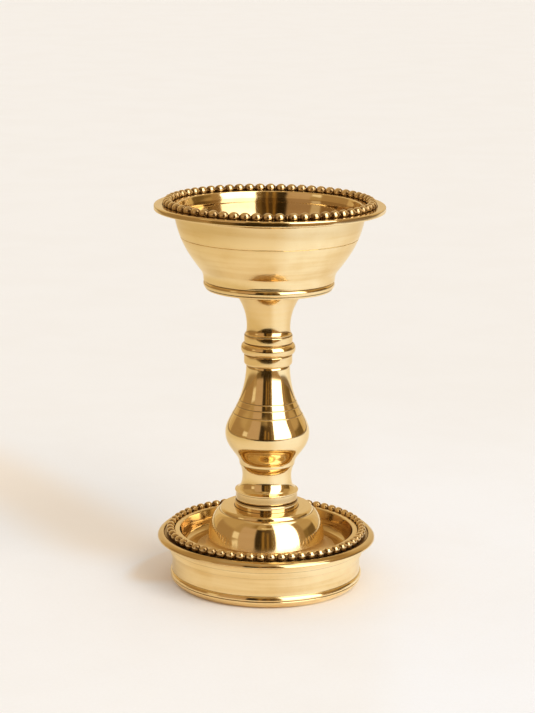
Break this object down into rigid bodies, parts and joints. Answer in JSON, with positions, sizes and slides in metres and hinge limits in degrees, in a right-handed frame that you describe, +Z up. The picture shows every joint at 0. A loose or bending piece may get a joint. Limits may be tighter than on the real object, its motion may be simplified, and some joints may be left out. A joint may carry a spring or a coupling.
{
  "type": "pedestal diya",
  "caption": "Pedestal diya: a wide oil bowl with a beaded rim on a turned stem and dome, standing in a drip tray with a second beaded rim, drawn together by one rod and nut.",
  "frame": {"origin": "on the table under the middle of the foot", "axes": "+Z up along the lamp's axis, -Y towards the viewer of the picture, +X to the viewer's right"},
  "size_m": [0.0878, 0.0878, 0.1509],
  "materials": {
    "polished_brass": "mirror polish over fine lathe lines, with faint tarnish in the seams and grooves",
    "dull_brass": "plain stamped brass sheet, not polished",
    "plated_steel": "bright zinc-plated steel"
  },
  "bodies": {
    "base": {"base_tray": "polished_brass", "base_bead_ring": "polished_brass", "base_dome": "polished_brass", "seat_collar": "polished_brass", "stem_vase": "polished_brass", "stem_knop": "polished_brass", "stem_neck": "polished_brass", "tie_rod": "plated_steel"},
    "seat_washer": {"bowl_seat_washer": "dull_brass"},
    "bowl": {"bowl": "polished_brass", "bowl_bead_ring": "polished_brass"},
    "clamp_washer": {"clamp_washer": "dull_brass"},
    "clamp_nut": {"clamp_nut": "plated_steel"}
  },
  "joints": [
    {"name": "bowl_rise", "type": "slide", "parent": "base", "child": "seat_washer", "axis": [0, 0, 1], "range_m": [0, 0.008]},
    {"name": "bowl_turn", "type": "hinge", "parent": "seat_washer", "child": "bowl", "pos_m": [0, 0, 0.1181], "axis": [0, 0, 1], "range_deg": [0, 2880]},
    {"name": "nut_drop", "type": "slide", "parent": "base", "child": "clamp_washer", "axis": [0, 0, -1], "range_m": [0, 0.0057]},
    {"name": "nut_turn", "type": "hinge", "parent": "clamp_washer", "child": "clamp_nut", "pos_m": [0, 0, 0.0081], "axis": [0, 0, -1], "range_deg": [0, 2052]}
  ],
  "couplings": [
    {"joint": "bowl_rise", "follows": "bowl_turn", "m_per_rad": 0.00015915},
    {"joint": "nut_turn", "follows": "nut_drop", "rad_per_m": 6283.1}
  ]
}
